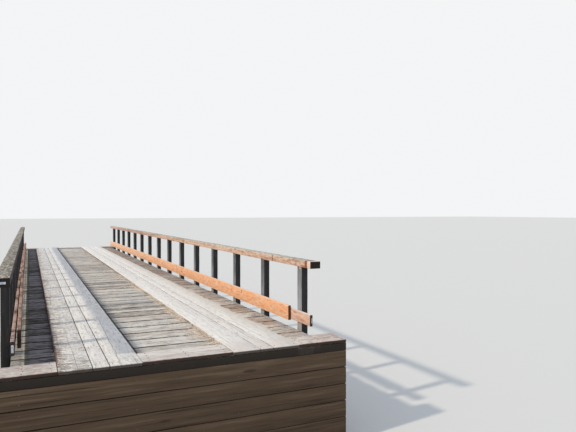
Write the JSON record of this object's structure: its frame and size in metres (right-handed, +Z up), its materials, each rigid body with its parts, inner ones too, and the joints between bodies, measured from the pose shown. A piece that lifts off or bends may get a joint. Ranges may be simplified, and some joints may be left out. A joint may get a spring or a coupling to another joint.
{
  "type": "wooden footbridge",
  "caption": "Straight timber footbridge on laminated girders: plank deck with two raised board runners, black posts, flat red-brown top rails and orange kerb boards.",
  "frame": {"origin": "on the ground, at the middle of the bridge's bounding box", "axes": "+Y along the bridge, away from the pictured end; +X across it, to the right when walking along +Y; +Z up"},
  "size_m": [3.658, 18.998, 2.047],
  "materials": {
    "sill_timber": "dark preservative-treated timber, damp and soiled",
    "backwall_timber": "dark preservative-treated timber, soiled",
    "girder_glulam": "laminated timber, brown, matt",
    "blocking_timber": "sawn timber, brown, matt",
    "deck_timber": "weathered grey-brown sawn timber",
    "runner_timber": "bleached pale grey timber, dusty",
    "threshold_timber": "pale grey timber with worn pink-red edges",
    "post_timber": "timber stained near black",
    "rail_timber": "red-brown stained timber, top weathered grey",
    "backing_timber": "pinkish brown stained timber",
    "kerb_timber": "orange-tan stained timber"
  },
  "bodies": {
    "root": {"near_sill": "sill_timber", "far_sill": "sill_timber", "near_backwall": "backwall_timber", "far_backwall": "backwall_timber", "left_outer_girder": "girder_glulam", "left_inner_girder": "girder_glulam", "right_inner_girder": "girder_glulam", "right_outer_girder": "girder_glulam", "near_end_blocking": "blocking_timber", "near_quarter_blocking": "blocking_timber", "middle_blocking": "blocking_timber", "far_quarter_blocking": "blocking_timber", "far_end_blocking": "blocking_timber", "near_deck_planks": "deck_timber", "near_middle_deck_planks": "deck_timber", "far_middle_deck_planks": "deck_timber", "far_deck_planks": "deck_timber", "left_runner_outer_board": "runner_timber", "left_runner_middle_board": "runner_timber", "left_runner_inner_board": "runner_timber", "right_runner_inner_board": "runner_timber", "right_runner_middle_board": "runner_timber", "right_runner_outer_board": "runner_timber", "near_threshold_left": "threshold_timber", "near_threshold_middle": "threshold_timber", "near_threshold_right": "threshold_timber", "far_threshold_left": "threshold_timber", "far_threshold_middle": "threshold_timber", "far_threshold_right": "threshold_timber", "left_near_posts": "post_timber", "left_middle_posts": "post_timber", "left_far_posts": "post_timber", "right_near_posts": "post_timber", "right_middle_posts": "post_timber", "right_far_posts": "post_timber", "left_top_rail": "rail_timber", "right_top_rail": "rail_timber", "left_kerb_backing_board": "backing_timber", "right_kerb_backing_board": "backing_timber", "left_kerb_board": "kerb_timber", "right_kerb_board": "kerb_timber"}
  },
  "joints": []
}
